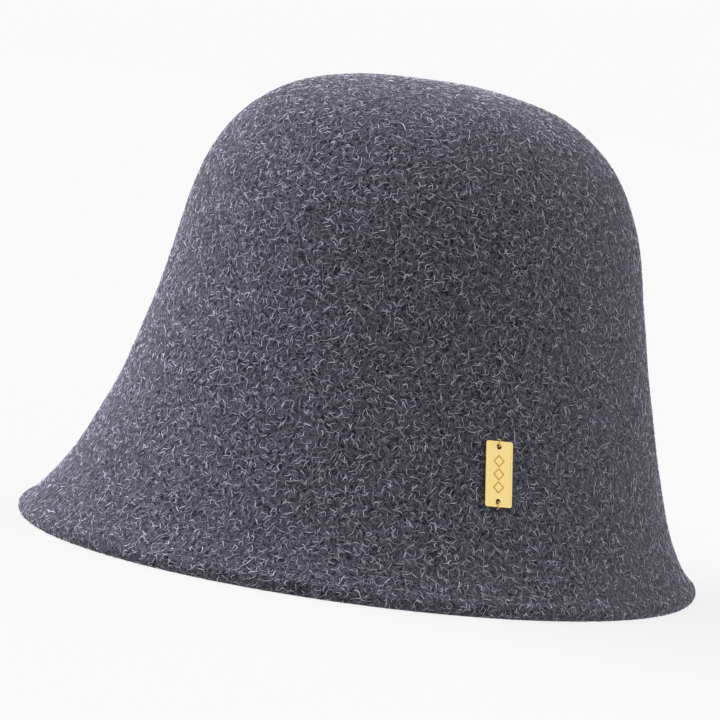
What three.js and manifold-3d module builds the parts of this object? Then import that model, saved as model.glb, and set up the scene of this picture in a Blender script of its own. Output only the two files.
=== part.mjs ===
// A bell-shaped hat (cloche) of blocked wool felt, with its brim wire, sweatband and size adjuster.
// Millimetres, +Z up. The hat rests on its brim at z = 0, the wearer looks along -Y,
// and the wearer's left is +X.
import * as THREE from "three";
import { mergeVertices } from "three/addons/utils/BufferGeometryUtils.js";
import Module from "manifold-3d";

const wasm = await Module();
wasm.setup();

// Driving dimensions. Radii are those of the round hat, before it is made oval.
const crownTop = 182.5;
const crownFlat = 54; // how far the dome's curve reaches out level from its top
const shoulder = { radius: 84.4, height: 114.5, lean: 9.5 }; // where the dome meets the flare
const domePull = 52.5;
const flarePull = 27;
const brimRadius = 120.5; // to the centre of the fold in the brim's edge
const brimLean = 53.5; // degrees from the vertical, at the edge
const brimPull = 23;
const felt = 2.0; // thickness
const hemRadius = 3.15; // outside of the fold
const hemFlat = 15; // half the angle that is pressed flat where the hat stands
const flapLength = 11;
const flapClose = 9; // degrees that the turned-under edge leans back to the wall
const oval = 0.085; // longer by this share front to back, narrower side to side
const brimLead = 3.5; // how far the brim reaches forward of the crown
const leadTop = 62; // height where that lead has died out
const crownTilt = { slope: -0.04, from: 100 }; // forward, for each mm above that height
const turns = 64; // facets round the hat

const wallDepth = felt * 1.05; // through the leaning wall, measured level

const wire = { radius: 0.5, gap: 1 };
const joiner = { bore: 0.66, radius: 0.93, length: 10 };
const thread = 0.28; // radius of the sewing thread
const hemStitch = { past: 0.7 }; // from the flap's edge
const band = { bottom: 64, height: 30, thick: 0.8, off: 1, steps: 3, stitch: 2.5 };

// The size adjuster. "off" is the clearance from the band, "start" is in degrees.
const track = { height: 79, off: 0.5 };
const strap = { length: 52, width: 11, thick: 0.7, start: -10, off: 2.1 };
const sleeve = { length: 38, width: 14.5, thick: 3, wall: 0.45, start: 5 };
const loopPad = { length: 37, width: 12, thick: 0.6, start: -27 };
const hookPad = { length: 14, width: 10, thick: 0.6, off: 1.3 };

const label = { width: 48, height: 20, thick: 0.45, heading: Math.PI, level: 79, off: 2.15 };
const care = { width: 22, height: 40, thick: 0.35, heading: 2.36, level: 104, off: 0.33 };

const plate = { width: 10.8, length: 23.6, thick: 1.1, height: 48.4, clear: 0.3 };
const plateHole = { radius: 0.95, spacing: 19.6 };
const rim = { width: 0.7, raise: 0.3 }; // the plate's raised edge
const motif = { radius: 2.3, sunk: 0.25, pitch: 4.7 };
const plateThread = { radius: 0.26, hole: 0.5, reach: 2.7, proud: 0.55, behind: 0.8 };

const rad = THREE.MathUtils.degToRad;

// A unit step along the outline, going down, at an angle from the vertical.
const downwards = (degrees) => new THREE.Vector2(Math.sin(rad(degrees)), -Math.cos(rad(degrees)));

const foldEnd = brimLean - 180 - flapClose; // the angle where the fold gives way to the flap
const foldCentre = new THREE.Vector2(brimRadius, hemRadius * Math.cos(rad(hemFlat)));

// The point of the fold at a radius and an angle from the horizontal.
function onFold(radius, degrees) {
  const ray = new THREE.Vector2(Math.cos(rad(degrees)), Math.sin(rad(degrees)));
  return ray.multiplyScalar(radius).add(foldCentre);
}

// The hat's outer outline from the top of the crown to where the brim's edge turns.
const apex = new THREE.Vector2(0, crownTop);
const side = new THREE.Vector2(shoulder.radius, shoulder.height);
const brimEnd = onFold(hemRadius, brimLean);
const dome = new THREE.CubicBezierCurve(
  apex,
  new THREE.Vector2(crownFlat, crownTop),
  side.clone().addScaledVector(downwards(shoulder.lean), -domePull),
  side,
);
const flare = new THREE.CubicBezierCurve(
  side,
  side.clone().addScaledVector(downwards(shoulder.lean), flarePull),
  brimEnd.clone().addScaledVector(downwards(brimLean), -brimPull),
  brimEnd,
);

// Points on the outline, pushed in by a distance at right angles to it.
function wallPoints(inset, domeSteps, flareSteps) {
  const points = [];
  for (const [curve, steps, first] of [[dome, domeSteps, 0], [flare, flareSteps, 1]]) {
    for (let i = first; i <= steps; i++) {
      const at = curve.getPoint(i / steps);
      const along = curve.getTangent(i / steps);
      points.push(at.add(new THREE.Vector2(along.y, -along.x).multiplyScalar(inset)));
    }
  }
  points[0].x = 0;
  return points;
}

const finePoints = wallPoints(0, 120, 120);

// The outer radius of the round hat at a height.
function wallRadius(height) {
  const i = finePoints.findIndex((p) => p.y <= height);
  const [a, b] = [finePoints[i - 1], finePoints[i]];
  return THREE.MathUtils.mapLinear(height, a.y, b.y, a.x, b.x);
}

// How far the hat's centre line stands behind the brim's centre at a height.
function setBack(height) {
  const lead = THREE.MathUtils.clamp((leadTop - height) / (leadTop - 7), 0, 1) ** 1.5;
  return brimLead * (1 - lead) + crownTilt.slope * Math.max(height - crownTilt.from, 0);
}

// A point of the oval hat from a radius of the round one, a heading from +X, and a height.
function ovalPoint(radius, heading, height) {
  const x = radius * (1 - oval) * Math.cos(heading);
  const y = radius * (1 + oval) * Math.sin(heading) + setBack(height);
  return new THREE.Vector3(x, y, height);
}

// Moves each vertex of a geometry by a function of its position.
function reshape(geometry, move) {
  const at = geometry.attributes.position;
  const p = new THREE.Vector3();
  for (let i = 0; i < at.count; i++) {
    const q = move(p.fromBufferAttribute(at, i));
    at.setXYZ(i, q.x, q.y, q.z);
  }
  geometry.computeVertexNormals();
  return geometry;
}

// Spins an outline of (radius, height) points round the hat and makes it oval.
function ovalLathe(points) {
  const round = new THREE.LatheGeometry(points, turns).rotateX(Math.PI / 2);
  return reshape(round, (p) => ovalPoint(Math.hypot(p.x, p.y), Math.atan2(p.y, p.x), p.z));
}

// A closed ring of round section, its centre at a radius and height of the round hat.
function ovalRing(centre, radius, sides) {
  const points = [];
  for (let i = 0; i <= sides; i++) {
    const a = ((i % sides) / sides) * 2 * Math.PI;
    points.push(new THREE.Vector2(Math.cos(a), Math.sin(a)).multiplyScalar(radius).add(centre));
  }
  return ovalLathe(points);
}

function toSolid(geometry) {
  const bare = geometry.clone();
  bare.deleteAttribute("normal");
  bare.deleteAttribute("uv");
  const merged = mergeVertices(bare, 1e-4);
  const vertProperties = merged.attributes.position.array;
  const triVerts = new Uint32Array(merged.index.array);
  return new wasm.Manifold(new wasm.Mesh({ numProp: 3, vertProperties, triVerts }));
}

function toGeometry(solid) {
  const mesh = solid.getMesh();
  const geometry = new THREE.BufferGeometry();
  geometry.setAttribute("position", new THREE.BufferAttribute(mesh.vertProperties, 3));
  geometry.setIndex(new THREE.BufferAttribute(mesh.triVerts, 1));
  geometry.computeVertexNormals();
  return geometry;
}

// Takes the tools away from a geometry.
function cut(geometry, ...tools) {
  return toGeometry(tools.reduce((left, tool) => left.subtract(toSolid(tool)), toSolid(geometry)));
}

function makePiece(name, geometry, color, roughness, metalness = 0) {
  const mesh = new THREE.Mesh(geometry, new THREE.MeshStandardMaterial({ color, roughness, metalness }));
  mesh.name = name;
  return mesh;
}

// Crown and brim: down the inside, round the fold, up and over the turned-under edge, and back
// up the outside.
function feltShell() {
  const alongFlap = downwards(foldEnd).multiplyScalar(flapLength);
  const points = wallPoints(felt, 11, 7);
  for (let i = 1; i <= 6; i++) {
    points.push(onFold(hemRadius - felt, THREE.MathUtils.lerp(brimLean, foldEnd, i / 6)));
  }
  points.push(onFold(hemRadius - felt, foldEnd).add(alongFlap));
  points.push(onFold(hemRadius, foldEnd).add(alongFlap));
  for (const [from, to, steps] of [[foldEnd, -90 - hemFlat, 2], [hemFlat - 90, brimLean, 6]]) {
    for (let i = 0; i <= steps; i++) {
      points.push(onFold(hemRadius, THREE.MathUtils.lerp(from, to, i / steps)));
    }
  }
  points.pop();
  points.push(...wallPoints(0, 12, 7).reverse());
  return ovalLathe(points);
}

// The plate's frame: X out of the hat, Y along its width and Z up its length. It leans with the
// brim, and its two ends touch the felt, which bows away a little behind its middle.
function plateFrame() {
  const reach = plate.length / 2;
  const low = wallRadius(plate.height - reach) * (1 - oval);
  const high = wallRadius(plate.height + reach) * (1 - oval);
  const lean = Math.atan2(low - high, 2 * reach);
  const frame = new THREE.Matrix4().makeRotationY(-lean);
  const out = (low + high) / 2 + plate.clear / Math.cos(lean);
  return frame.setPosition(out, setBack(plate.height), plate.height);
}

const plateAt = plateFrame();

// Turns a shape drawn flat, with its thickness along Z, into the plate's frame.
const standUp = new THREE.Matrix4().set(0, 0, 1, 0, 1, 0, 0, 0, 0, 1, 0, 0, 0, 0, 0, 1);

function plateOutline(inset, corner) {
  const w = plate.width / 2 - inset - corner;
  const l = plate.length / 2 - inset - corner;
  const shape = new THREE.Shape();
  shape.absarc(w, l, corner, 0, Math.PI / 2);
  shape.absarc(-w, l, corner, Math.PI / 2, Math.PI);
  shape.absarc(-w, -l, corner, Math.PI, Math.PI * 1.5);
  shape.absarc(w, -l, corner, Math.PI * 1.5, Math.PI * 2);
  return shape;
}

// The flat plate with its raised edge, its three sunk lozenges and its two sewing holes.
function plateBody() {
  const options = { depth: plate.thick, curveSegments: 3, bevelEnabled: false };
  const blank = new THREE.ExtrudeGeometry(plateOutline(0, 0.9), options);
  const field = new THREE.ExtrudeGeometry(plateOutline(rim.width, 0.5), options);
  const floor = plate.thick - rim.raise;
  const tools = [field.translate(0, 0, floor)];
  for (const end of [-1, 1]) {
    const hole = new THREE.CylinderGeometry(plateHole.radius, plateHole.radius, 4, 16);
    tools.push(hole.rotateX(Math.PI / 2).translate(0, (end * plateHole.spacing) / 2, 0));
  }
  for (const step of [-1, 0, 1]) {
    const lozenge = new THREE.CylinderGeometry(motif.radius, motif.radius, 2 * motif.sunk, 4);
    tools.push(lozenge.rotateX(Math.PI / 2).translate(0, step * motif.pitch, floor));
  }
  return cut(blank, ...tools).applyMatrix4(standUp).applyMatrix4(plateAt);
}

// A closed loop of thread: out of the felt, through the plate's hole, over its end and back in.
function threadLoop(end, radius, sides, steps) {
  const inside = felt + plate.clear + plateThread.behind;
  const outside = plate.thick + plateThread.proud;
  const middle = (end * (plateHole.spacing + plateThread.reach)) / 2;
  const loop = new THREE.TorusGeometry(1, 0.1, sides, steps);
  reshape(loop, (p) => {
    const around = Math.atan2(p.y, p.x);
    const [c, s] = [Math.cos(around), Math.sin(around)];
    const swell = 1 / (c ** 4 + s ** 4) ** 0.25; // squares the ring's corners
    const off = ((Math.hypot(p.x, p.y) - 1) / 0.1) * radius;
    const out = s * (((inside + outside) / 2) * swell + off) + (outside - inside) / 2;
    return new THREE.Vector3(out, (p.z / 0.1) * radius, middle + c * ((plateThread.reach / 2) * swell + off));
  });
  return loop.applyMatrix4(plateAt);
}

// Lays a flat piece (x along, y up, z off the wall) on the inside of the hat.
function onWall(geometry, heading, height, off) {
  const round = wallRadius(height);
  const [across, along] = [round * (1 - oval) * Math.sin(heading), round * (1 + oval) * Math.cos(heading)];
  const pace = Math.hypot(across, along);
  return reshape(geometry, (p) => {
    const z = height + p.y;
    return ovalPoint(wallRadius(z) - wallDepth - off - p.z, heading - p.x / pace, z);
  });
}

// The size strap slides on a cone round an upright axis, which follows the band at the back.
const trackWall = wallRadius(track.height) - wallDepth - band.off - band.thick;
const trackRadius = (trackWall * (1 - oval) ** 2) / (1 + oval);
const trackCentre = trackWall * (1 + oval) + setBack(track.height) - trackRadius;
const trackSlope = ((wallRadius(track.height + 5) - wallRadius(track.height - 5)) / 10) * (1 + oval);

// Lays a flat piece (x along, y up, z off the band) on that cone. Its start is in degrees from
// the middle of the back, towards the wearer's left.
function onTrack(geometry, start, off) {
  return reshape(geometry, (p) => {
    const heading = rad(start) + p.x / trackRadius;
    const radius = trackRadius - off - p.z + trackSlope * p.y;
    const [x, y] = [radius * Math.sin(heading), radius * Math.cos(heading)];
    return new THREE.Vector3(x, trackCentre + y, track.height + p.y);
  });
}

// A flat strip with its length along X, from 0, and its thickness along Z, from 0.
function strip(length, width, thick, steps = Math.ceil(length / 4)) {
  return new THREE.BoxGeometry(length, width, thick, steps, 2, 1).translate(length / 2, 0, thick / 2);
}

// The felt, with the holes that the plate's threads pass through.
function feltBody() {
  const needles = [-1, 1].map((end) => threadLoop(end, plateThread.hole, 8, 32));
  return cut(feltShell(), ...needles);
}

// The sweatband, a thin ring that follows the wall.
function sweatband() {
  const points = [];
  for (const [from, to, off] of [[0, 1, band.off], [1, 0, band.off + band.thick]]) {
    for (let i = 0; i <= band.steps; i++) {
      const height = band.bottom + band.height * THREE.MathUtils.lerp(from, to, i / band.steps);
      points.push(new THREE.Vector2(wallRadius(height) - wallDepth - off, height));
    }
  }
  return ovalLathe([...points, points[0]]);
}

// The wire ring, open where its ends meet, and the sleeve crimped over them at the back.
function brimWire() {
  const ring = ovalRing(foldCentre, wire.radius, 6);
  const gap = new THREE.BoxGeometry(wire.gap, 6, 6);
  return cut(ring, gap.translate(0, foldCentre.x * (1 + oval), foldCentre.y));
}

function wireJoiner() {
  const section = new THREE.Shape().absarc(0, 0, joiner.radius, 0, 2 * Math.PI);
  section.holes.push(new THREE.Path().absarc(0, 0, joiner.bore, 0, 2 * Math.PI, true));
  const options = { depth: joiner.length, steps: 4, curveSegments: 8, bevelEnabled: false };
  const tube = new THREE.ExtrudeGeometry(section, options).translate(0, 0, -joiner.length / 2);
  return reshape(tube, (p) => {
    const heading = Math.PI / 2 - p.z / (foldCentre.x * (1 - oval));
    return ovalPoint(foldCentre.x + p.x, heading, foldCentre.y + p.y);
  });
}

// The row of catch stitches along the free edge of the turned-under flap.
function hemThread() {
  const end = downwards(foldEnd).multiplyScalar(flapLength + hemStitch.past);
  return ovalRing(onFold(hemRadius - felt, foldEnd).add(end), thread, 5);
}

// The stitch line near the sweatband's lower edge.
function bandThread() {
  const height = band.bottom + band.stitch;
  const radius = wallRadius(height) - wallDepth - band.off - band.thick - thread - 0.3;
  return ovalRing(new THREE.Vector2(radius, height), thread, 5);
}

// The flat ribbon sleeve, open at both ends.
function strapSleeve() {
  const outside = strip(sleeve.length, sleeve.width, sleeve.thick);
  const hollow = strip(sleeve.length + 8, sleeve.width - 2 * sleeve.wall, sleeve.thick - 2 * sleeve.wall, 12);
  const tube = cut(outside, hollow.translate(-4, 0, sleeve.wall));
  return onTrack(tube, sleeve.start, track.off);
}

const strapGeometry = onTrack(strip(strap.length, strap.width, strap.thick), strap.start, strap.off);
const hookGeometry = onTrack(strip(hookPad.length, hookPad.width, hookPad.thick), strap.start + 1, hookPad.off);
const loopGeometry = onTrack(strip(loopPad.length, loopPad.width, loopPad.thick), loopPad.start, track.off);
const labelGeometry = strip(label.width, label.height, label.thick).translate(-label.width / 2, 0, 0);
const careGeometry = strip(care.width, care.height, care.thick).translate(-care.width / 2, 0, 0);

const feltColor = "#4a4c58";
const goldColor = "#d9a93c";
const navy = "#23252e";

const outside = new THREE.Group();
outside.add(
  makePiece("felt_body", feltBody(), feltColor, 0.95),
  makePiece("metal_plate", plateBody(), goldColor, 0.25, 1),
  makePiece("upper_plate_thread", threadLoop(1, plateThread.radius, 6, 24), goldColor, 0.6),
  makePiece("lower_plate_thread", threadLoop(-1, plateThread.radius, 6, 24), goldColor, 0.6),
);

const brimEdge = new THREE.Group();
brimEdge.add(
  makePiece("brim_wire", brimWire(), "#8d9096", 0.4, 1),
  makePiece("wire_joiner", wireJoiner(), "#b08d57", 0.35, 1),
  makePiece("hem_thread", hemThread(), navy, 0.8),
);

const lining = new THREE.Group();
lining.add(
  makePiece("sweatband", sweatband(), navy, 0.8),
  makePiece("band_thread", bandThread(), navy, 0.8),
  makePiece("woven_label", onWall(labelGeometry, label.heading, label.level, label.off), "#e4e0d6", 0.7),
  makePiece("care_label", onWall(careGeometry, care.heading, care.level, care.off), "#f2f0ea", 0.6),
);

const adjuster = new THREE.Group();
adjuster.add(
  makePiece("strap_sleeve", strapSleeve(), navy, 0.8),
  makePiece("size_strap", strapGeometry, navy, 0.8),
  makePiece("hook_pad", hookGeometry, "#1b1c22", 0.5),
  makePiece("loop_pad", loopGeometry, "#1b1c22", 0.95),
);

const hat = new THREE.Group();
hat.add(outside, brimEdge, lining, adjuster);

export default hat;
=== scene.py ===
import math
import random

import bmesh
import bpy
import numpy as np
from mathutils import Matrix, Vector


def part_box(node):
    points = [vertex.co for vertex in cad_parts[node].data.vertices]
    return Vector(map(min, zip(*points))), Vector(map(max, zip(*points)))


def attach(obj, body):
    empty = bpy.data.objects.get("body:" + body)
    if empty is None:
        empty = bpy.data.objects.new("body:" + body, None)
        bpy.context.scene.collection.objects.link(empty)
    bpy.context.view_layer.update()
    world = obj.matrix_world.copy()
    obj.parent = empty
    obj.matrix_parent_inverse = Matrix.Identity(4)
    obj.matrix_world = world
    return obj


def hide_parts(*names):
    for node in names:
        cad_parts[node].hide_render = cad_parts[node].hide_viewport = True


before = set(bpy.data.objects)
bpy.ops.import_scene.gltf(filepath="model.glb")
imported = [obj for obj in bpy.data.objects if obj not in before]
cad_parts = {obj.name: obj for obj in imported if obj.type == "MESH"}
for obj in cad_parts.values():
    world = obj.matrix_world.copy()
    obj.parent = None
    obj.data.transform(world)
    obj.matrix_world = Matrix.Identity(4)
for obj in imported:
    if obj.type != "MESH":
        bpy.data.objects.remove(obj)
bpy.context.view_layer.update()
mm = 0.001

# camera

view = {
    "heading": 64,  # degrees round from the front, towards the wearer's left
    "rise": 5.7,
    "roll": 8.8,
    "distance": 1.2,
    "aimUp": 0.0732,
    "aimSide": -0.0115,
    "lens": 157.4,
}


def placeCamera():
    a, e, r = (math.radians(view[k]) for k in ("heading", "rise", "roll"))
    back = Vector((math.sin(a) * math.cos(e), -math.cos(a) * math.cos(e), math.sin(e)))
    side = Vector((math.cos(a), math.sin(a), 0))
    up = back.cross(side)
    data = bpy.data.cameras.new("camera")
    data.lens = view["lens"]
    data.clip_end = 20
    camera = bpy.data.objects.new("camera", data)
    rolledSide = side * math.cos(r) + up * math.sin(r)
    rolledUp = up * math.cos(r) - side * math.sin(r)
    axes = Matrix((rolledSide, rolledUp, back)).transposed()
    aim = Vector((0, 0, view["aimUp"])) + side * view["aimSide"]
    camera.matrix_world = Matrix.Translation(aim + back * view["distance"]) @ axes.to_4x4()
    bpy.context.scene.collection.objects.link(camera)
    bpy.context.scene.camera = camera
    return side, up, back


sideways, upwards, towards = placeCamera()
print("camera placed")

# small helpers


def linear(hexCode):
    parts = [int(hexCode[i : i + 2], 16) / 255 for i in (1, 3, 5)]
    return [c / 12.92 if c <= 0.04045 else ((c + 0.055) / 1.055) ** 2.4 for c in parts] + [1]


def addNode(tree, kind, settings={}, give=None, **links):
    # links name a socket and give a value or another node's output; a trailing digit picks a repeated
    # socket; what comes back is the output named by give, or the first one in use
    node = tree.nodes.new(kind)
    for name, value in settings.items():
        setattr(node, name, value)
    for name, value in links.items():
        plain = name.rstrip("0123456789")
        sockets = [s for s in node.inputs if s.enabled and s.name.replace(" ", "") == plain]
        socket = sockets[int(name[-1])] if name[-1].isdigit() else sockets[0]
        if isinstance(value, bpy.types.NodeSocket):
            tree.links.new(value, socket)
        else:
            socket.default_value = value
    return node.outputs[give] if give else next(s for s in node.outputs if s.enabled)


def scaleFor(size):
    # the texture scale that gives features of this size in mm
    return 1 / (size * mm)


def newMaterial(name, **values):
    material = bpy.data.materials.new(name)
    material.use_nodes = True
    tree = material.node_tree
    shader = tree.nodes["Principled BSDF"]
    for key, value in values.items():
        shader.inputs[key.replace("_", " ")].default_value = value
    return material, tree, shader


def newPiece(name, bm, material, smooth=True):
    mesh = bpy.data.meshes.new(name)
    bm.normal_update()
    bmesh.ops.recalc_face_normals(bm, faces=bm.faces)
    for face in bm.faces:
        face.smooth = smooth
    bm.to_mesh(mesh)
    bm.free()
    mesh.materials.append(material)
    piece = bpy.data.objects.new(name, mesh)
    bpy.context.scene.collection.objects.link(piece)
    return piece


# floor and light

studio = {
    "floorSize": 8,
    "white": 0.95,  # what the room and the floor both show
    "floorAlbedo": 0.04,  # the rest is the table's own glow
    "keyStrength": 9.8,
    "keyHeading": -99,  # degrees round from the camera, towards its right
    "keyRise": 33,
    "keyWidth": 70,  # degrees that the lamp covers
    "fillStrength": 3.2,
    "fillHeading": 108,
    "fillRise": 15,
    "fillWidth": 80,
}


def layFloor():
    bm = bmesh.new()
    bmesh.ops.create_grid(bm, x_segments=1, y_segments=1, size=studio["floorSize"])
    # opal acrylic light table: lit from below, so that shadows on it are faint
    material, tree, shader = newMaterial("opal_acrylic_table", Roughness=1.0, Specular_IOR_Level=0.0)
    falling = studio["white"]
    for name in ("key", "fill"):
        falling += studio[name + "Strength"] * math.sin(math.radians(studio[name + "Rise"])) / math.pi
    shader.inputs["Base Color"].default_value = (studio["floorAlbedo"],) * 3 + (1,)
    shader.inputs["Emission Color"].default_value = linear("#ffffff")
    shader.inputs["Emission Strength"].default_value = studio["white"] - studio["floorAlbedo"] * falling
    floor = newPiece("floor", bm, material, smooth=False)


def hangSun(name):
    heading, rise = math.radians(studio[name + "Heading"]), math.radians(studio[name + "Rise"])
    level = towards.copy()
    level.z = 0
    level.normalize()
    ray = (level * math.cos(heading) + sideways * math.sin(heading)) * math.cos(rise)
    ray.z = math.sin(rise)
    data = bpy.data.lights.new(name, "SUN")
    data.energy = studio[name + "Strength"]
    data.angle = math.radians(studio[name + "Width"])
    light = bpy.data.objects.new(name, data)
    light.rotation_euler = ray.to_track_quat("Z", "Y").to_euler()
    light.visible_glossy = False  # polished metal mirrors the white room only
    bpy.context.scene.collection.objects.link(light)


def lightStudio():
    world = bpy.data.worlds.new("white_room")
    bpy.context.scene.world = world
    world.use_nodes = True
    room = world.node_tree.nodes["Background"]
    room.inputs["Color"].default_value = linear("#ffffff")
    room.inputs["Strength"].default_value = studio["white"]
    hangSun("key")
    hangSun("fill")
    settings = bpy.context.scene.view_settings
    settings.view_transform = "Standard"
    settings.look = "None"


layFloor()
lightStudio()
print("floor and lights placed")

# the hat's own shape, in millimetres of the round hat before it is made oval

low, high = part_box("felt_body")
across, along = high.x - low.x, high.y - low.y
shape = {
    "crownTop": high.z / mm,
    "crownFlat": 54,  # how hard the curve pulls level at the crown's top
    "shoulder": (84.4, 114.5),  # radius and height where the dome runs into the flare
    "shoulderLean": 9.5,  # degrees from upright there
    "domePull": 52.5,
    "flarePull": 27,
    "brimLean": 53.5,  # degrees from upright at the brim's edge
    "brimPull": 23,
    "felt": 2.0,  # its thickness
    "hemRadius": 3.15,  # the outside of the fold
    "hemFlat": 15,  # degrees either side of straight down that the fold is pressed flat over
    "flapLength": 11,
    "flapClose": 9,  # degrees that the flap leans towards the wall
    "oval": (along - across) / (along + across),
    "brimLead": 3.5,  # how far the crown stands behind the middle of the brim
    "leadTop": 62,  # the height where that offset is complete
    "tiltSlope": -0.04,  # how the crown leans forwards above tiltFrom
    "tiltFrom": 100,
}
brimRadius = (along + across) / 4 / mm - shape["hemRadius"]
foldEnd = shape["brimLean"] - 180 - shape["flapClose"]
foldCentre = Vector((brimRadius, shape["hemRadius"] * math.cos(math.radians(shape["hemFlat"]))))


def downwards(degrees):
    return Vector((math.sin(math.radians(degrees)), -math.cos(math.radians(degrees))))


def onFold(radius, degrees):
    return foldCentre + radius * Vector((math.cos(math.radians(degrees)), math.sin(math.radians(degrees))))


def bezier(a, b, c, d, t):
    u = 1 - t
    point = u**3 * a + 3 * u * u * t * b + 3 * u * t * t * c + t**3 * d
    slope = u * u * (b - a) + 2 * u * t * (c - b) + t * t * (d - c)
    return point, slope.normalized()


def wallPoints(inset, domeSteps, flareSteps):
    # down the wall from the top of the crown, pushed in at right angles
    top, side = Vector((0, shape["crownTop"])), Vector(shape["shoulder"])
    lean, end = downwards(shape["shoulderLean"]), onFold(shape["hemRadius"], shape["brimLean"])
    dome = (top, top + Vector((shape["crownFlat"], 0)), side - lean * shape["domePull"], side)
    brim = downwards(shape["brimLean"])
    flare = (side, side + lean * shape["flarePull"], end - brim * shape["brimPull"], end)
    points = []
    for curve, steps, first in ((dome, domeSteps, 0), (flare, flareSteps, 1)):
        for i in range(first, steps + 1):
            at, slope = bezier(*curve, i / steps)
            points.append(at + inset * Vector((slope.y, -slope.x)))
    points[0].x = 0
    return points


wallOutline = wallPoints(0, 200, 200)
wallHeights = np.array([p.y for p in wallOutline])[::-1]
wallRadii = np.array([p.x for p in wallOutline])[::-1]


def wallRadius(height):
    return float(np.interp(height, wallHeights, wallRadii))


def setBack(height):
    lead = np.clip((shape["leadTop"] - height) / (shape["leadTop"] - 7), 0, 1) ** 1.5
    return shape["brimLead"] * (1 - lead) + shape["tiltSlope"] * np.maximum(height - shape["tiltFrom"], 0)


def ovalPoint(radius, heading, height):
    # radius, heading and height may be single numbers or arrays
    x = radius * (1 - shape["oval"]) * np.cos(heading)
    y = radius * (1 + shape["oval"]) * np.sin(heading) + setBack(height)
    return np.stack((x, y, height), axis=-1) * mm


def spinOval(points, steps, closed=False, ripple=None):
    # spins an outline of (radius, height) points round the hat and makes it oval; ripple moves a
    # point off the outline by its place round the hat
    bm = bmesh.new()
    verts = [bm.verts.new((p[0] * mm, 0, p[1] * mm)) for p in points]
    edges = [bm.edges.new(pair) for pair in zip(verts, verts[1:])]
    if closed:
        edges.append(bm.edges.new((verts[-1], verts[0])))
    bmesh.ops.spin(bm, geom=verts + edges, axis=(0, 0, 1), angle=math.tau, steps=steps, use_merge=True)
    bmesh.ops.remove_doubles(bm, verts=bm.verts, dist=1e-6)
    for v in bm.verts:
        radius, heading, height = math.hypot(v.co.x, v.co.y) / mm, math.atan2(v.co.y, v.co.x), v.co.z / mm
        if ripple:
            radius, height = ripple(radius, heading, height)
        v.co = ovalPoint(radius, heading, height)
    bmesh.ops.recalc_face_normals(bm, faces=bm.faces)
    bm.normal_update()
    return bm


# felt

felt = {
    "turns": 240,  # columns of faces round the hat
    "domeSteps": 48,
    "flareSteps": 48,
    "swell": 0.16,  # mm, the slow unevenness of hand blocking
    "base": "#323139",
    # the colour of the painted shade in the ground's pits
    "pit": "#07070a",
    "web": "#4f4e5a",
    "warp": 2.4,  # mm, how far the web bends
    "crimp": 1.6,  # mm, how often it bends
    "pits": 1.1,  # mm, from one pit in the ground to the next
}


def feltSkins():
    # the inside from the crown to the flap's tip, and the outside from the crown round the fold to the tip
    inside = wallPoints(shape["felt"], felt["domeSteps"], felt["flareSteps"])
    flap = downwards(foldEnd) * shape["flapLength"]
    inner, outer = shape["hemRadius"] - shape["felt"], shape["hemRadius"]
    inside += [onFold(inner, a) for a in np.linspace(shape["brimLean"], foldEnd, 14)[1:]]
    inside += [onFold(inner, foldEnd) + flap * t for t in (0.25, 0.5, 0.75, 0.95)]
    inside.append(onFold(inner + 0.25, foldEnd) + flap)
    outside = wallPoints(0, felt["domeSteps"], felt["flareSteps"])
    flat = shape["hemFlat"]
    outside += [onFold(outer, a) for a in np.linspace(shape["brimLean"], flat - 90, 18)[1:]]
    outside += [onFold(outer, a) for a in np.linspace(-90 - flat, foldEnd, 6)]
    outside += [onFold(outer, foldEnd) + flap * t for t in (0.25, 0.5, 0.75, 0.95)]
    outside.append(onFold(outer - 0.25, foldEnd) + flap)
    return inside, outside


def unevenness(x, y, z):
    # slow waves across each other, in millimetres, dying out towards the edge that the hat stands on
    waves = np.sin(x / 7.1 + z / 12.3) * np.cos(y / 9.4 - z / 8.7)
    waves = waves + 0.7 * np.sin(y / 5.9 + x / 15.1 + 1.7) * np.cos(z / 6.3 + 0.4)
    return felt["swell"] * waves * np.clip((z - 8) / 12, 0, 1)


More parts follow.
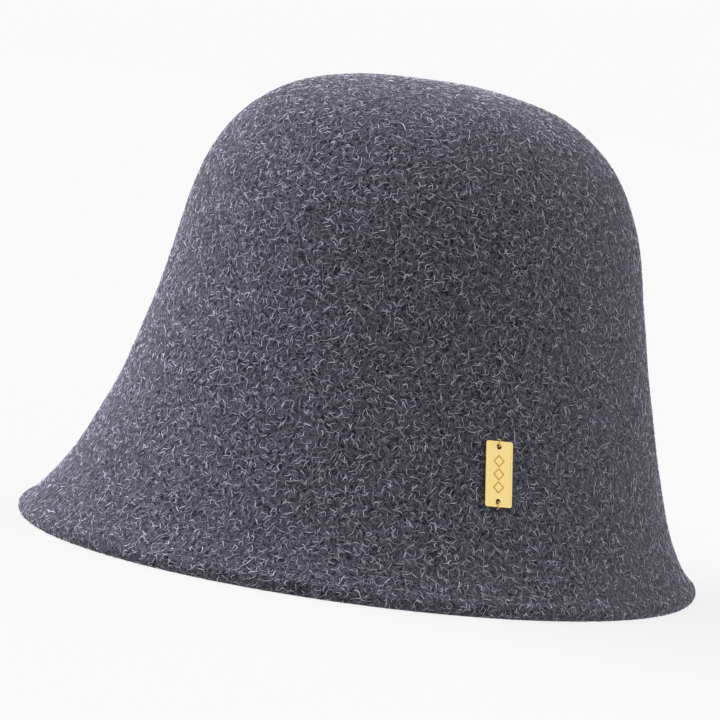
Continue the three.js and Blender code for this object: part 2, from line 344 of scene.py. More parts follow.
def melangeFelt():
    # wool felt, blocked and brushed: a web of pale curly fibres over a dark ground with small pits, painted
    # near black as the shade in them;
    # the fibres are drawn about ten times as thick as real ones, which would be too fine to see
    material, tree, shader = newMaterial("melange_wool_felt", Roughness=0.95, Specular_IOR_Level=0.2)
    shader.inputs["Sheen Weight"].default_value = 0.16
    shader.inputs["Sheen Roughness"].default_value = 0.45
    shader.inputs["Sheen Tint"].default_value = linear("#c3c4d2")
    place = addNode(tree, "ShaderNodeTexCoord", give="Object")
    crimp = scaleFor(felt["crimp"])
    warp = addNode(tree, "ShaderNodeTexNoise", give="Color", Vector=place, Scale=crimp, Detail=1.0)
    pull = addNode(
        tree, "ShaderNodeVectorMath", {"operation": "SUBTRACT"}, Vector0=warp, Vector1=(0.5, 0.5, 0.5),
    )
    bent = addNode(
        tree, "ShaderNodeVectorMath", {"operation": "MULTIPLY_ADD"},
        Vector0=pull, Vector1=(felt["warp"] * mm,) * 3, Vector2=place,
    )
    webs = []
    # how big the web's cells are in mm, and how wide their edges are in shares of a cell
    for cell, width in ((1.6, 0.12), (1.05, 0.15)):
        scale = scaleFor(cell)
        edge = addNode(
            tree, "ShaderNodeTexVoronoi", {"feature": "DISTANCE_TO_EDGE"}, Vector=bent, Scale=scale,
        )
        line = addNode(
            tree, "ShaderNodeMapRange", {"interpolation_type": "SMOOTHSTEP"},
            Value=edge, FromMax=width, ToMin=1.0, ToMax=0.0,
        )
        cover = addNode(tree, "ShaderNodeTexNoise", Vector=place, Scale=scale * 0.8, Detail=0.0)
        gate = addNode(tree, "ShaderNodeMapRange", Value=cover, FromMin=0.36, FromMax=0.58)
        webs.append(addNode(tree, "ShaderNodeMath", {"operation": "MULTIPLY"}, Value0=line, Value1=gate))
    web = addNode(tree, "ShaderNodeMath", {"operation": "MAXIMUM"}, Value0=webs[0], Value1=webs[1])
    grain = addNode(tree, "ShaderNodeTexNoise", Vector=bent, Scale=scaleFor(felt["pits"]), Detail=2.0)
    depth = addNode(tree, "ShaderNodeMapRange", Value=grain, FromMin=0.42, FromMax=0.6)
    rgba = {"data_type": "RGBA"}
    pit, base, pale = (linear(felt[k]) for k in ("pit", "base", "web"))
    # painted shade: where the bump sinks lowest, in the pits, the ground's colour goes to near black
    ground = addNode(tree, "ShaderNodeMix", rgba, Factor=depth, A=pit, B=base)
    paint = addNode(tree, "ShaderNodeMix", rgba, Factor=web, A=ground, B=pale)
    tree.links.new(paint, shader.inputs["Base Color"])
    relief = addNode(
        tree, "ShaderNodeMath", {"operation": "MULTIPLY_ADD"}, Value0=web, Value1=0.6, Value2=depth,
    )
    bump = addNode(tree, "ShaderNodeBump", Strength=0.9, Distance=0.35 * mm, Height=relief)
    tree.links.new(bump, shader.inputs["Normal"])
    return material


def blockFelt():
    inside, outside = feltSkins()
    bm = spinOval(inside + outside[::-1], felt["turns"])
    for v in bm.verts:
        v.co += v.normal * float(unevenness(*(v.co / mm))) * mm
    piece = newPiece("felt_shell", bm, melangeFelt())
    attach(piece, "hat")
    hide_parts("felt_body")


blockFelt()
print("felt blocked")

# wool fibres that lie curled on the felt

fibres = {
    "curls": 36,  # different shapes of curl
    "segments": 5,
    "step": 0.62,  # mm
    "radius": 0.135,  # mm, drawn about ten times as thick as a real fibre so that it shows
    "arch": 0.2,  # mm, how far its middle stands off
    "sunk": 0.08,  # mm, how deep its ends go in
    "stray": 0.8,  # mm, how far it lies from its even place
    "fade": 3.2,  # mm, from a pale stretch to a dull one
    "each": 6200,  # strewn in each shade
    "inside": "#747384",
    "outside": {
        "palest": "#aba9bd",
        "pale": "#9b9aad",
        "soft": "#8d8c9e",
        "middling": "#7f7e8f",
        "dim": "#71707f",
        "dimmest": "#636270",
    },
}


def bendCurl(rng):
    # one thin closed strand, lying along the ground and bending as it goes
    bm = bmesh.new()
    stand = Matrix.Rotation(math.pi / 2, 4, "Y")
    bmesh.ops.create_circle(bm, cap_ends=True, segments=3, radius=fibres["radius"] * 0.4, matrix=stand)
    tip = bm.faces[:][0]
    count, step = fibres["segments"], fibres["step"]
    thickness = [0.4] + [0.85] + [1] * (count - 3) + [0.85] + [0.4]
    heights = [fibres["arch"] * math.sin(math.pi * i / count) - fibres["sunk"] for i in range(count + 1)]
    bend = rng.choice((-1, 1)) * rng.uniform(4, 44)
    flip = rng.randint(2, count + 2)  # the segment where the strand bends the other way
    heading, at = 0.0, Vector((0, 0, heights[0]))
    bmesh.ops.translate(bm, verts=bm.verts, vec=at)
    for i in range(count):
        grown = bmesh.ops.extrude_face_region(bm, geom=[tip])["geom"]
        verts = [g for g in grown if isinstance(g, bmesh.types.BMVert)]
        if i > 0:
            bmesh.ops.delete(bm, geom=[tip], context="FACES_ONLY")
        tip = next(g for g in grown if isinstance(g, bmesh.types.BMFace))
        turn = math.radians((bend if i < flip else -bend) + rng.uniform(-38, 38))
        ahead = heading + turn / 2
        move = Vector((math.cos(ahead) * step, math.sin(ahead) * step, heights[i + 1] - heights[i]))
        at = at + move
        heading += turn
        bmesh.ops.translate(bm, verts=verts, vec=move)
        around = Matrix.Translation(-at)
        bmesh.ops.rotate(bm, verts=verts, cent=at, matrix=Matrix.Rotation(turn, 3, "Z"))
        grow = thickness[i + 1] / thickness[i]
        bmesh.ops.scale(bm, verts=verts, vec=(grow, grow, grow), space=around)
    middle = sum((v.co for v in bm.verts), Vector()) / len(bm.verts)
    middle.z = 0
    bmesh.ops.translate(bm, verts=bm.verts, vec=-middle)
    bm.normal_update()
    bmesh.ops.recalc_face_normals(bm, faces=bm.faces)
    curl = bpy.data.meshes.new("curl")
    bm.to_mesh(curl)
    bm.free()
    return curl


def measurePath(points, outwards):
    # way down the outline, radius, height, and the direction off the felt, at each point
    at = np.array([(p.x, p.y) for p in points])
    slope = np.gradient(at, axis=0)
    slope /= np.linalg.norm(slope, axis=1)[:, None]
    way = np.concatenate(([0], np.cumsum(np.linalg.norm(np.diff(at, axis=0), axis=1))))
    return way, at[:, 0], at[:, 1], -slope[:, 1] * outwards, slope[:, 0] * outwards, -outwards


def strewFibres(name, curls, path, count, seed, shades, colour):
    # the places are dealt out at random, so that no two shades share one and no shade lies in rows
    rng = np.random.default_rng(seed)
    order = np.random.default_rng(20).permutation(count * shades)[seed % shades :: shades]
    way, radius, height, offRadius, offHeight, hand = path
    # evenly over the area: even steps down the path's own area, and the golden angle round the hat
    area = np.concatenate(([0], np.cumsum(np.diff(way) * (radius[1:] + radius[:-1]) / 2)))
    share = (order + rng.uniform(0, 1, count)) / (count * shades)
    start = np.interp(share * area[-1], area, way) + rng.normal(0, fibres["stray"], count)
    start = np.clip(start, 0.5, way[-1] - 2.5)
    heading = order * math.pi * (3 - math.sqrt(5))
    heading += rng.normal(0, fibres["stray"], count) / np.interp(start, way, radius)
    bm = bmesh.new()
    for i in range(count):
        bm.from_mesh(curls[rng.integers(len(curls))], face_normals=False, vertex_normals=False)
    for face in bm.faces:
        face.smooth = True
    mesh = bpy.data.meshes.new(name)
    bm.to_mesh(mesh)
    bm.free()
    flat = np.empty(len(mesh.vertices) * 3, np.float32)
    mesh.vertices.foreach_get("co", flat)
    flat = flat.reshape(count, -1, 3)
    turn = rng.uniform(0, math.tau, count)[:, None]
    side = flat[..., 0] * np.cos(turn) - flat[..., 1] * np.sin(turn)
    down = start[:, None] + flat[..., 0] * np.sin(turn) + flat[..., 1] * np.cos(turn)
    side = hand * side * (start / np.interp(start, way, radius))[:, None]
    at, around = np.hypot(down, side), heading[:, None] + np.arctan2(side, down)
    r, z = np.interp(at, way, radius), np.interp(at, way, height)
    skin = ovalPoint(r, around, z) / mm
    lift = flat[..., 2] + unevenness(*np.moveaxis(skin, -1, 0))
    r, z = r + lift * np.interp(at, way, offRadius), z + lift * np.interp(at, way, offHeight)
    place = ovalPoint(r, around, z)
    mesh.vertices.foreach_set("co", place.astype(np.float32).ravel())
    mesh.update()
    mesh.materials.append(woolFibre(name, colour))
    piece = bpy.data.objects.new(name, mesh)
    bpy.context.scene.collection.objects.link(piece)
    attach(piece, "hat")


def woolFibre(name, colour):
    # dyed wool fibre: matt, a little paler or darker every few millimetres
    material, tree, shader = newMaterial("dyed_wool_in_" + name, Roughness=0.9, Specular_IOR_Level=0.25)
    shader.inputs["Sheen Weight"].default_value = 0.2
    place = addNode(tree, "ShaderNodeTexCoord", give="Object")
    patch = addNode(tree, "ShaderNodeTexNoise", Vector=place, Scale=scaleFor(fibres["fade"]), Detail=1.0)
    spread = addNode(tree, "ShaderNodeMapRange", Value=patch, FromMin=0.35, FromMax=0.65)
    dull = [c * 0.5 for c in linear(colour)[:3]] + [1]
    paint = addNode(tree, "ShaderNodeMix", {"data_type": "RGBA"}, Factor=spread, A=dull, B=linear(colour))
    tree.links.new(paint, shader.inputs["Base Color"])
    return material


def coverInFibres():
    chooser = random.Random(11)
    curls = [bendCurl(chooser) for _ in range(fibres["curls"])]
    inside, outside = feltSkins()
    # on the inside the fibres stop short of the fold, where nobody sees them
    out, inn = measurePath(outside, 1), measurePath(inside[:-8], -1)
    shades = fibres["outside"]
    for seed, (shade, colour) in enumerate(shades.items()):
        strewFibres("outside_fibres_" + shade, curls, out, fibres["each"], seed, len(shades), colour)
    strewFibres("inside_fibres", curls, inn, fibres["each"], len(shades), 1, fibres["inside"])


coverInFibres()
print("fibres strewn")

# helpers for the trimmings


def finish(piece, body, slot, *nodes):
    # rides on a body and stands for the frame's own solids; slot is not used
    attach(piece, body)
    if nodes:
        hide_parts(*nodes)


def settle(piece):
    # applies the piece's modifiers
    graph = bpy.context.evaluated_depsgraph_get()
    mesh = bpy.data.meshes.new_from_object(piece.evaluated_get(graph))
    mesh.name = piece.name
    piece.modifiers.clear()
    piece.data = mesh


def threadPiece(name, paths, radius, material, closed=False, sides=1):
    # round threads along paths of points in metres, as one mesh
    data = bpy.data.curves.new(name, "CURVE")
    data.dimensions = "3D"
    data.bevel_depth = radius * mm
    data.bevel_resolution = sides
    data.use_fill_caps = not closed
    for path in paths:
        spline = data.splines.new("POLY")
        spline.points.add(len(path) - 1)
        spline.points.foreach_set("co", np.hstack((np.array(path), np.ones((len(path), 1)))).ravel())
        spline.use_cyclic_u = closed
    line = bpy.data.objects.new(name, data)
    bpy.context.scene.collection.objects.link(line)
    graph = bpy.context.evaluated_depsgraph_get()
    bm = bmesh.new()
    bm.from_mesh(bpy.data.meshes.new_from_object(line.evaluated_get(graph)))
    bpy.data.objects.remove(line)
    bmesh.ops.remove_doubles(bm, verts=bm.verts, dist=1e-7)
    return newPiece(name, bm, material)


def rectangle(long, wide, thick, steps, rows=2, soften=0.12):
    # a flat strip from x = 0, its width along y and its thickness up from z = 0, in millimetres
    bm = bmesh.new()
    bmesh.ops.create_grid(bm, x_segments=steps, y_segments=rows, size=0.5)
    bmesh.ops.scale(bm, verts=bm.verts, vec=(long, wide, 1))
    bmesh.ops.translate(bm, verts=bm.verts, vec=(long / 2, 0, 0))
    grown = bmesh.ops.extrude_face_region(bm, geom=bm.faces[:], use_keep_orig=True)["geom"]
    bmesh.ops.translate(bm, verts=[g for g in grown if isinstance(g, bmesh.types.BMVert)], vec=(0, 0, thick))
    bmesh.ops.recalc_face_normals(bm, faces=bm.faces)
    sharp = [e for e in bm.edges if e.calc_face_angle(0) > 1]
    bmesh.ops.bevel(bm, geom=sharp, offset=soften, affect="EDGES", segments=2, profile=0.5, material=-1)
    return bm


def layPiece(name, bm, material, lay):
    # keeps each point's flat place in an attribute for the weave, then lays the piece on the hat
    flat = bm.verts.layers.float_vector.new("cut")
    for v in bm.verts:
        v[flat] = v.co
        v.co = lay(v.co)
    return newPiece(name, bm, material)


wallDepth = shape["felt"] * 1.05  # through the leaning wall, measured level


def onWall(heading, level, off):
    # lays a flat piece (x along, y up, z off the wall) on the inside of the hat
    reach = wallRadius(level)
    across = reach * (1 - shape["oval"]) * math.sin(heading)
    pace = math.hypot(across, reach * (1 + shape["oval"]) * math.cos(heading))

    def lay(p):
        height = level + p.y
        return ovalPoint(wallRadius(height) - wallDepth - off - p.z, heading - p.x / pace, height)

    return lay


# weaves


def woven(name, warpTone, weftTone, warpPitch, weftPitch, roughness, sheen, relief):
    # threads over and under each other, the weft a tone apart from the warp, by the flat cut's own place;
    # the gaps between the threads are darkened with painted shade
    material, tree, shader = newMaterial(name, Roughness=roughness, Specular_IOR_Level=0.35)
    shader.inputs["Sheen Weight"].default_value = sheen
    cut = addNode(tree, "ShaderNodeAttribute", {"attribute_name": "cut"}, give="Vector")
    bands = []
    # the cut's place is in millimetres, and one wave of the texture is tau / 20 long at a scale of 1
    for axis, pitch in (("X", warpPitch), ("Y", weftPitch)):
        bands.append(addNode(
            tree, "ShaderNodeTexWave", {"bands_direction": axis}, give="Fac",
            Vector=cut, Scale=math.tau / 20 / pitch, Distortion=0.4, Detail=1.0,
        ))
    over = addNode(tree, "ShaderNodeMath", {"operation": "GREATER_THAN"}, Value0=bands[0], Value1=bands[1])
    high = addNode(tree, "ShaderNodeMath", {"operation": "MAXIMUM"}, Value0=bands[0], Value1=bands[1])
    fuzz = addNode(tree, "ShaderNodeTexNoise", Vector=cut, Scale=6.0, Detail=3.0)
    shadeOf = addNode(tree, "ShaderNodeMath", {"operation": "MULTIPLY"}, Value0=high, Value1=fuzz)
    rgba = {"data_type": "RGBA"}
    thread = addNode(tree, "ShaderNodeMix", rgba, Factor=over, A=linear(weftTone), B=linear(warpTone))
    # painted shade: the thread colour is multiplied down to about a third where the threads sink, flecked at
    # random by the fuzz
    depth = addNode(
        tree, "ShaderNodeMapRange", Value=shadeOf, FromMin=0.1, FromMax=0.55, ToMin=0.35, ToMax=1.0,
    )
    gapShade = addNode(tree, "ShaderNodeMix", {**rgba, "blend_type": "MULTIPLY"}, Factor=1.0, A=thread, B=depth)
    tree.links.new(gapShade, shader.inputs["Base Color"])
    bump = addNode(tree, "ShaderNodeBump", Strength=0.8, Distance=relief * mm, Height=high)
    tree.links.new(bump, shader.inputs["Normal"])
    return material


def sewingThread(name, colour, roughness=0.55):
    # spun polyester thread: a soft gloss and fine flecks where its filaments catch the light
    material, tree, shader = newMaterial(name, Roughness=roughness, Specular_IOR_Level=0.5)
    shader.inputs["Sheen Weight"].default_value = 0.3
    place = addNode(tree, "ShaderNodeTexCoord", give="Object")
    fleck = addNode(tree, "ShaderNodeTexNoise", Vector=place, Scale=scaleFor(0.38), Detail=2.0)
    deep = [c * 0.45 for c in linear(colour)[:3]] + [1]
    paint = addNode(tree, "ShaderNodeMix", {"data_type": "RGBA"}, Factor=fleck, A=deep, B=linear(colour))
    tree.links.new(paint, shader.inputs["Base Color"])
    bump = addNode(tree, "ShaderNodeBump", Strength=0.5, Distance=0.1 * mm, Height=fleck)
    tree.links.new(bump, shader.inputs["Normal"])
    return material


def metal(name, colour, roughness, scratch, grain):
    # metal with a fine unevenness in its polish, which grain stretches along the piece
    material, tree, shader = newMaterial(name, Base_Color=linear(colour), Metallic=1.0)
    place = addNode(tree, "ShaderNodeTexCoord", give="Object")
    along = addNode(tree, "ShaderNodeMapping", Vector=place, Scale=grain)
    wear = addNode(tree, "ShaderNodeTexNoise", Vector=along, Scale=scaleFor(1.4), Detail=4.0)
    gloss = addNode(
        tree, "ShaderNodeMapRange", Value=wear, FromMin=0.3, FromMax=0.7,
        ToMin=roughness * 0.8, ToMax=roughness * 1.3,
    )
    tree.links.new(gloss, shader.inputs["Roughness"])
    bump = addNode(tree, "ShaderNodeBump", Strength=scratch, Distance=0.02 * mm, Height=wear)
    tree.links.new(bump, shader.inputs["Normal"])
    return material


# the gold plate

plate = {
    "width": 10.8,
    "length": 23.6,
    "thick": 1.1,
    "height": 48.4,  # its middle, above the table
    "clear": 0.3,  # off the felt
    "corner": 0.9,
    "rim": 0.7,  # how wide the slim border is
    "raise": 0.3,  # how far the border stands over the face
    "hole": 0.95,  # radius of the sewing holes
    "spacing": 19.6,  # from one hole to the other
    "lozenge": 2.3,  # half its diagonal
    "stroke": 0.6,  # width of the struck line
    "pitch": 4.7,  # from one lozenge to the next
    "sunk": 0.28,  # depth of the struck line
    "edge": 0.11,  # how far its edges are rounded
}


def plateFrame():
    # X out of the hat, Y along the plate's width, Z up its length, leaning with the brim
    reach = plate["length"] / 2
    foot = wallRadius(plate["height"] - reach) * (1 - shape["oval"])
    head = wallRadius(plate["height"] + reach) * (1 - shape["oval"])
    lean = math.atan2(foot - head, 2 * reach)
    out = (foot + head) / 2 + plate["clear"] / math.cos(lean)
    at = Vector((out, setBack(plate["height"]), plate["height"]))
    return Matrix.Translation(at * mm) @ Matrix.Rotation(-lean, 4, "Y") @ Matrix.Scale(mm, 4)


plateAt = plateFrame()


def slab(width, length, thick, corner, base=0.0):
    bm = bmesh.new()
    bmesh.ops.create_cube(bm, size=1)
    bmesh.ops.scale(bm, verts=bm.verts, vec=(thick, width, length))
    bmesh.ops.translate(bm, verts=bm.verts, vec=(base + thick / 2, 0, 0))
    upright = [e for e in bm.edges if abs(e.verts[0].co.x - e.verts[1].co.x) > thick / 2]
    bmesh.ops.bevel(bm, geom=upright, offset=corner, affect="EDGES", segments=6, profile=0.5, material=-1)
    return bm


def cutAway(piece, bm, grooved):
    # a cutter whose faces are marked leaves the grooves' darker material behind, its colour painted shade
    for face in bm.faces:
        face.material_index = 1 if grooved else 0
    mesh = bpy.data.meshes.new("cutter")
    bm.normal_update()
    bmesh.ops.recalc_face_normals(bm, faces=bm.faces)
    bm.to_mesh(mesh)
    bm.free()
    for material in piece.data.materials:
        mesh.materials.append(material)
    cutter = bpy.data.objects.new("cutter", mesh)
    bpy.context.scene.collection.objects.link(cutter)
    cut = piece.modifiers.new("cut", "BOOLEAN")
    cut.object = cutter
    cut.solver = "EXACT"
    settle(piece)
    bpy.data.objects.remove(cutter)


def lozengeGroove(middle):
    bm = bmesh.new()
    bed = plate["thick"] - plate["raise"] - plate["sunk"]
    out = Matrix.Translation((bed, 0, middle)) @ Matrix.Rotation(math.pi / 2, 4, "Y")
    bmesh.ops.create_circle(bm, cap_ends=True, segments=4, radius=plate["lozenge"], matrix=out)
    middleFace = bm.faces[:]
    bmesh.ops.inset_region(bm, faces=middleFace, thickness=plate["stroke"], use_boundary=True)
    bmesh.ops.delete(bm, geom=middleFace, context="FACES")
    grown = bmesh.ops.extrude_face_region(bm, geom=bm.faces[:], use_keep_orig=True)["geom"]
    bmesh.ops.translate(bm, verts=[g for g in grown if isinstance(g, bmesh.types.BMVert)], vec=(2, 0, 0))
    return bm


def stampPlate():
    # die-struck brass, polished and gold plated: warm yellow, mirror-soft; the struck grooves and the holes
    # are rougher, and painted shade makes their colour darker
    polished = metal("gold_plated_brass_polished", "#f8de94", 0.24, 0.15, (1, 1, 0.2))
    # painted shade: a darker gold for the walls of the grooves and the holes
    struck = metal("gold_plated_brass_in_grooves", "#e0b04c", 0.5, 0.4, (1, 1, 1))
    blank = slab(plate["width"], plate["length"], plate["thick"], plate["corner"])
    piece = newPiece("stamped_plate", blank, polished)
    piece.data.materials.append(struck)
    floor = plate["thick"] - plate["raise"]
    inner = (plate["width"] - 2 * plate["rim"], plate["length"] - 2 * plate["rim"])
    cutAway(piece, slab(*inner, 2, 0.4, floor), False)
    for end in (-1, 1):
        bm = bmesh.new()
        hole = {"radius1": plate["hole"], "radius2": plate["hole"], "depth": 6}
        at = Matrix.Translation((0, 0, end * plate["spacing"] / 2)) @ Matrix.Rotation(math.pi / 2, 4, "Y")
        bmesh.ops.create_cone(bm, cap_ends=True, segments=28, matrix=at, **hole)
        cutAway(piece, bm, True)
    for step in (-1, 0, 1):
        cutAway(piece, lozengeGroove(step * plate["pitch"]), True)
    edge = piece.modifiers.new("edge", "BEVEL")
    edge.width = plate["edge"]
    edge.segments = 2
    edge.limit_method = "ANGLE"
    edge.angle_limit = math.radians(40)
    settle(piece)
    piece.data.transform(plateAt)
    piece.data.shade_smooth()
    piece.data.set_sharp_from_angle(angle=math.radians(35))
    finish(piece, "hat", "gold_plate", "metal_plate")


# the thread that holds the plate, through each hole and over the plate's end

plateThread = {
    "strand": 0.11,  # radius of one strand
    "lay": 0.12,  # how far each strand lies from the thread's middle
    "strands": 3,
    "twists": 9,  # in one loop
    "steps": 110,
    "reach": 2.7,  # from the hole's middle to beyond the plate's end
    "proud": 0.55,  # off the plate's face
    "behind": 0.8,  # off the felt's inside
}


def threadLoop(end, phase):
    inside = shape["felt"] + plate["clear"] + plateThread["behind"]
    outside = plate["thick"] + plateThread["proud"]
    middle = end * (plate["spacing"] + plateThread["reach"]) / 2
    points = []
    for i in range(plateThread["steps"]):
        a = math.tau * i / plateThread["steps"]
        c, s = math.cos(a), math.sin(a)
        swell = 1 / (c**4 + s**4) ** 0.25
        twist = a * plateThread["twists"] + phase
        off, aside = plateThread["lay"] * math.cos(twist), plateThread["lay"] * math.sin(twist)
        out = s * ((inside + outside) / 2 * swell + off) + (outside - inside) / 2
        points.append(plateAt @ Vector((out, aside, middle + c * (plateThread["reach"] / 2 * swell + off))))
    return points


def sewPlate():
    gold = sewingThread("gold_polyester_thread", "#ecc56c", 0.4)
    for name, end in (("upper", 1), ("lower", -1)):
        phases = [math.tau * k / plateThread["strands"] for k in range(plateThread["strands"])]
        loops = [threadLoop(end, phase) for phase in phases]
        piece = threadPiece(name + "_twisted_thread", loops, plateThread["strand"], gold, closed=True)
        finish(piece, "hat", "gold_thread", name + "_plate_thread")


stampPlate()
sewPlate()
print("plate stamped and sewn on")

# brim wire and its joiner, hidden in the fold: the frame's own shapes with a real finish


def dressNode(node, material):
    bpy.data.objects[node].material_slots[0].material = material


dressNode("brim_wire", metal("drawn_spring_steel", "#9a9ca1", 0.35, 0.3, (1, 1, 1)))
dressNode("wire_joiner", metal("crimped_brass_tube", "#b39255", 0.38, 0.4, (1, 1, 1)))

# catch stitches along the turned-under edge

# back is how far a stitch starts from the flap's edge, past how far beyond the edge it goes in
hemStitch = {"count": 132, "radius": 0.24, "back": 2.2, "past": 2.6, "slant": 1.5}


def sewHem():
    # each stitch goes from the flap's face, over its edge, into the felt behind
    flap = downwards(foldEnd)
    under = onFold(shape["hemRadius"], foldEnd)
    over = onFold(shape["hemRadius"] - shape["felt"], foldEnd)
    off = (under - over).normalized()
    reach = shape["flapLength"]
    inside = feltSkins()[0]
    wall = min(inside, key=lambda p: (p - over - flap * (reach + hemStitch["past"])).length)
    side = [
        under + flap * (reach - hemStitch["back"]) - off * 0.3,
        under + flap * (reach - hemStitch["back"] + 0.35) + off * 0.4,
        under + flap * (reach - 0.35) + off * 0.44,
        under + flap * (reach + 0.5) - off * 0.55,
        wall + off * 0.2,
        wall - off * 0.35 + flap * 0.3,
    ]
    paths = []
    for k in range(2 * hemStitch["count"]):
        middle = math.pi * k / hemStitch["count"]
        lean = hemStitch["slant"] * (1 if k % 2 else -1) / brimRadius
        leans = np.linspace(-lean, lean, len(side))
        paths.append([ovalPoint(p.x, middle + a, p.y) for p, a in zip(side, leans)])
    navy = sewingThread("navy_hem_thread", "#50546e")
    piece = threadPiece("hem_catch_stitches", paths, hemStitch["radius"], navy)
    finish(piece, "hat", "navy_thread", "hem_thread")


sewHem()
print("hem sewn")

# sweatband of grosgrain ribbon

band = {
    "bottom": 64,
    "height": 30,
    "thick": 0.8,
    "off": 1,
    "ribs": 400,  # drawn about twice as wide as real ones
    "ribDepth": 0.22,
    "stitchHeight": 2.5,
    "stitches": 170,
    "stitchThread": 0.24,
}


def bandOutline():
    # up the side by the felt and down the side by the head, the two long edges rounded
    points = []
    rows = [0, 0.015, 0.33, 0.66, 0.985, 1]
    for share in rows:
        height = band["bottom"] + band["height"] * share
        inset = 0.25 if share in (0, 1) else 0
        points.append((wallRadius(height) - wallDepth - band["off"] - inset, height))
    for share in reversed(rows):
        height = band["bottom"] + band["height"] * share
        inset = 0.25 if share in (0, 1) else 0
        points.append((wallRadius(height) - wallDepth - band["off"] - band["thick"] + inset, height))
    return points


def sewBand():
    # rayon grosgrain: close upright ribs with a silky lustre, dark between them
    steps = 4 * band["ribs"]

    def ripple(radius, heading, height):
        # each rib is four columns wide, and dips between the ribs on both faces
        dip = (1 - math.cos(math.pi / 2 * round(heading / math.tau * steps))) / 2
        middle = wallRadius(height) - wallDepth - band["off"] - band["thick"] / 2
        return middle + (radius - middle) * (1 - dip * 2 * band["ribDepth"] / band["thick"]), height

    material, tree, shader = newMaterial("rayon_grosgrain", Roughness=0.5, Specular_IOR_Level=0.45)
    shader.inputs["Sheen Weight"].default_value = 0.25
    place = addNode(tree, "ShaderNodeTexCoord", give="Object")
    flat = addNode(tree, "ShaderNodeMapping", Vector=place, Scale=(1, 1, 4))
    threads = addNode(tree, "ShaderNodeTexNoise", Vector=flat, Scale=scaleFor(0.66), Detail=3.0)
    dark, pale = linear("#191a24"), linear("#3d3f50")
    tone = addNode(tree, "ShaderNodeMix", {"data_type": "RGBA"}, Factor=threads, A=dark, B=pale)
    tree.links.new(tone, shader.inputs["Base Color"])
    bump = addNode(tree, "ShaderNodeBump", Strength=0.4, Distance=0.1 * mm, Height=threads)
    tree.links.new(bump, shader.inputs["Normal"])
    ribbon = spinOval(bandOutline(), steps, closed=True, ripple=ripple)
    piece = newPiece("grosgrain_sweatband", ribbon, material)
    finish(piece, "hat", "grosgrain", "sweatband")


def stitchBand():
    # a running stitch, each end going back into the ribbon
    height = band["bottom"] + band["stitchHeight"]
    face = wallRadius(height) - wallDepth - band["off"] - band["thick"]
    pitch = math.tau / band["stitches"]
    # how far along a stitch, and how far off the ribbon's face in mm
    rise = ((0, -0.3), (0.08, 0.1), (0.2, 0.3), (0.5, 0.34), (0.8, 0.3), (0.92, 0.1), (1, -0.3))
    paths = []
    for k in range(band["stitches"]):
        start = k * pitch
        paths.append([ovalPoint(face - off, start + 0.78 * share * pitch, height) for share, off in rise])
    navy = sewingThread("navy_band_thread", "#50546e")
    piece = threadPiece("band_running_stitch", paths, band["stitchThread"], navy)
    finish(piece, "hat", "navy_thread", "band_thread")


sewBand()
stitchBand()
print("sweatband sewn")

# size adjuster: sleeve, strap, and its hook and loop pads

track = {"height": 79, "off": 0.5}
trackWall = wallRadius(track["height"]) - wallDepth - band["off"] - band["thick"]
trackRadius = trackWall * (1 - shape["oval"]) ** 2 / (1 + shape["oval"])
trackCentre = trackWall * (1 + shape["oval"]) + setBack(track["height"]) - trackRadius
trackSlope = (wallRadius(track["height"] + 5) - wallRadius(track["height"] - 5)) / 10 * (1 + shape["oval"])


def onTrack(start, off):
    # lays a flat piece (x along, y up, z off the band) on the cone that the strap slides round
    def lay(p):
        heading = math.radians(start) + p.x / trackRadius
        radius = trackRadius - off - p.z + trackSlope * p.y
        at = (radius * math.sin(heading), trackCentre + radius * math.cos(heading), track["height"] + p.y)
        return Vector(at) * mm

    return lay


# start is in degrees round from the back, towards the wearer's left, and off is how far off the band
sleeve = {"long": 38, "wide": 14.5, "thick": 3, "wall": 0.45, "start": 5}
strap = {"long": 52, "wide": 11, "thick": 0.7, "start": -10, "off": 2.1}
loopPad = {"long": 37, "wide": 12, "thick": 0.6, "start": -27, "base": 0.3, "loops": 900}
hookPad = {"long": 14, "wide": 10, "thick": 0.6, "start": -9, "off": 1.3, "base": 0.25, "pitch": 1.05}


def sewSleeve():
    # a flat tube of ribbon with round sides, open at both ends
    bm = bmesh.new()
    bmesh.ops.create_cube(bm, size=1)
    bmesh.ops.scale(bm, verts=bm.verts, vec=(sleeve["long"], sleeve["wide"], sleeve["thick"]))
    bmesh.ops.translate(bm, verts=bm.verts, vec=(sleeve["long"] / 2, 0, sleeve["thick"] / 2))
    along = [e for e in bm.edges if abs(e.verts[0].co.x - e.verts[1].co.x) > 1]
    bmesh.ops.bevel(bm, geom=along, offset=1.2, affect="EDGES", segments=4, profile=0.5, material=-1)
    bmesh.ops.delete(bm, geom=[f for f in bm.faces if abs(f.normal.x) > 0.9], context="FACES_ONLY")
    steps = 20
    for i in range(1, steps):
        whole = bm.verts[:] + bm.edges[:] + bm.faces[:]
        at = (sleeve["long"] * i / steps, 0, 0)
        bmesh.ops.bisect_plane(bm, geom=whole, plane_co=at, plane_no=(1, 0, 0))
    bmesh.ops.solidify(bm, geom=bm.faces[:], thickness=sleeve["wall"])
    ribbon = woven("grosgrain_sleeve", "#2c2e3b", "#191a23", 1.3, 0.5, 0.55, 0.25, 0.25)
    piece = layPiece("ribbon_strap_sleeve", bm, ribbon, onTrack(sleeve["start"], track["off"]))
    finish(piece, "hat", "grosgrain", "strap_sleeve")


def sewStrap():
    webbing = woven("polyester_webbing", "#262833", "#1a1b24", 0.9, 1.1, 0.6, 0.2, 0.3)
    bm = rectangle(strap["long"], strap["wide"], strap["thick"], 34, rows=6)
    piece = layPiece("webbing_size_strap", bm, webbing, onTrack(strap["start"], strap["off"]))
    finish(piece, "strap", "strap_webbing", "size_strap")


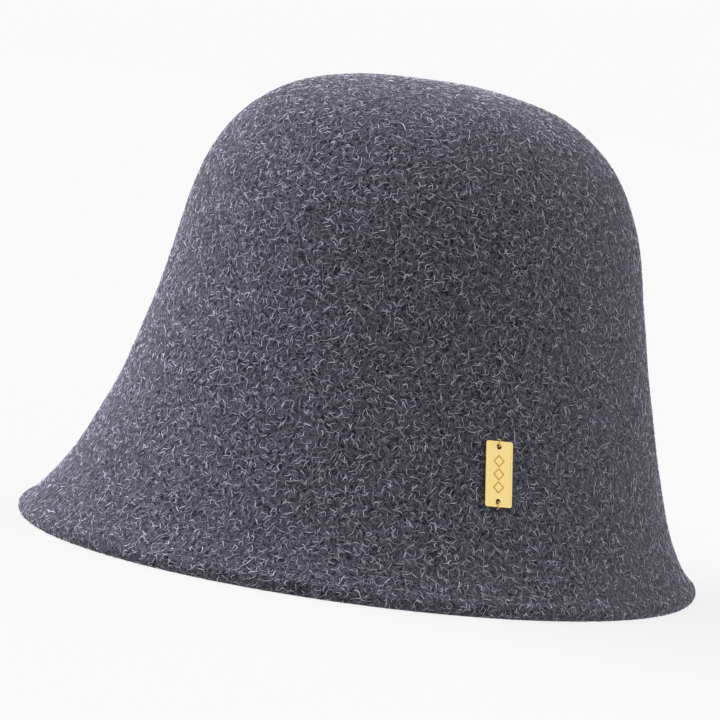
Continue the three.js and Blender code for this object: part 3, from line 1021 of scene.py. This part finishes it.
def nylon(name, colour, roughness):
    # nylon monofilament: black plastic, its filaments a shade apart
    material, tree, shader = newMaterial(name, Roughness=roughness, Specular_IOR_Level=0.5)
    place = addNode(tree, "ShaderNodeTexCoord", give="Object")
    fleck = addNode(tree, "ShaderNodeTexNoise", Vector=place, Scale=scaleFor(0.9), Detail=2.0)
    pale = [c * 2.2 for c in linear(colour)[:3]] + [1]
    tone = addNode(tree, "ShaderNodeMix", {"data_type": "RGBA"}, Factor=fleck, A=linear(colour), B=pale)
    tree.links.new(tone, shader.inputs["Base Color"])
    return material


def crookPath(x, y, base, tall, lean):
    # a stem that bends over at its top
    heights = ((0, -0.1), (0, 0.45), (0.12, 0.8), (0.34, 1), (0.55, 0.84), (0.6, 0.6))
    return [Vector((x + lean * reach * tall, y, base + tall * up)) for reach, up in heights]


def sewPads():
    rng = random.Random(5)
    black = nylon("nylon_hook_tape", "#131318", 0.4)
    lay = onTrack(hookPad["start"], hookPad["off"])
    bm = rectangle(hookPad["long"], hookPad["wide"], hookPad["base"], 10, soften=0.08)
    bmesh.ops.translate(bm, verts=bm.verts, vec=(0, 0, hookPad["thick"] - hookPad["base"]))
    tape = layPiece("hook_tape", bm, black, lay)
    finish(tape, "strap", "hook_tape", "hook_pad")
    hooks = []
    across, along = int(hookPad["wide"] / hookPad["pitch"]) - 1, int(hookPad["long"] / hookPad["pitch"]) - 1
    for i in range(along + 1):
        for j in range(across + 1):
            x, y = (i + 0.7) * hookPad["pitch"], (j - across / 2) * hookPad["pitch"]
            # the hooks point at the band, so they stand down from the tape
            path = crookPath(x, y, 0, hookPad["thick"] - hookPad["base"] - 0.02, 1 if i % 2 else -1)
            hooks.append([lay(Vector((p.x, p.y, hookPad["thick"] - hookPad["base"] - p.z))) for p in path])
    finish(threadPiece("hook_tape_hooks", hooks, 0.07, black, sides=0), "strap", "hook_tape")

    soft = nylon("brushed_nylon_loops", "#17171d", 0.85)
    lay = onTrack(loopPad["start"], track["off"])
    bm = rectangle(loopPad["long"], loopPad["wide"], loopPad["base"], 24, soften=0.08)
    finish(layPiece("loop_tape", bm, soft, lay), "hat", "loop_tape", "loop_pad")
    loops = []
    for _ in range(loopPad["loops"]):
        x, y = rng.uniform(0.6, loopPad["long"] - 0.6), rng.uniform(-0.45, 0.45) * loopPad["wide"]
        turn, size = rng.uniform(0, math.tau), rng.uniform(0.22, 0.42)
        path = []
        for k in range(6):
            a = math.pi * (k / 5 * 1.3 - 0.15)
            reach = size * math.cos(a)
            up = loopPad["base"] + (loopPad["thick"] - loopPad["base"] - 0.05) * math.sin(a)
            path.append(lay(Vector((x + reach * math.cos(turn), y + reach * math.sin(turn), up))))
        loops.append(path)
    finish(threadPiece("loop_tape_loops", loops, 0.045, soft, sides=0), "hat", "loop_tape")


sewSleeve()
sewStrap()
sewPads()
print("size adjuster made")

# blank labels

label = {"long": 48, "wide": 20, "thick": 0.45, "heading": math.pi, "level": 79, "off": 2.15, "fold": 2.6}
care = {"long": 22, "wide": 40, "thick": 0.35, "heading": 2.36, "level": 104, "off": 0.33}


def sewLabels():
    # woven satin with its two ends folded under, and tacked at each end
    satin = woven("woven_satin_label", "#e9e5da", "#d6d0c1", 0.45, 0.6, 0.38, 0.1, 0.08)
    bm = rectangle(label["long"], label["wide"], label["thick"] * 0.55, 48, rows=10, soften=0.09)
    for v in bm.verts:
        # the folded ends are double
        end = min(v.co.x, label["long"] - v.co.x)
        if end < label["fold"] and v.co.z > label["thick"] * 0.3:
            v.co.z += label["thick"] * 0.42 * min(1, (label["fold"] - end) * 2)
        v.co.x -= label["long"] / 2
    lay = onWall(label["heading"], label["level"], label["off"])
    finish(layPiece("blank_woven_label", bm, satin, lay), "hat", "woven_satin", "woven_label")
    tack = ((-0.8, 0.3), (-0.5, 0.55), (0.5, 0.55), (0.8, 0.3))
    tacks = []
    for end in (-1, 1):
        x = end * (label["long"] / 2 - 1.3)
        for k in range(9):
            y = (k - 4) * 2.1
            tacks.append([lay(Vector((x, y + dy, z))) for dy, z in tack])
    cream = sewingThread("cream_label_thread", "#d9d3c4")
    finish(threadPiece("label_tacks", tacks, 0.13, cream), "hat", "woven_satin")

    tape = woven("acetate_care_tape", "#f4f2ec", "#e4e1d8", 0.5, 0.5, 0.3, 0.05, 0.05)
    bm = rectangle(care["long"], care["wide"], care["thick"] * 0.7, 22, rows=36, soften=0.08)
    for v in bm.verts:
        # the tape curls away from the felt a little towards its free top
        rise = v.co.y / care["wide"] + 0.5
        v.co.x -= care["long"] / 2
        v.co.z += 0.9 * max(rise - 0.35, 0) ** 2 * (1 + 0.5 * math.cos(v.co.x / 5))
    lay = onWall(care["heading"], care["level"], care["off"])
    finish(layPiece("blank_care_label", bm, tape, lay), "hat", "care_tape", "care_label")


sewLabels()
print("labels sewn in")
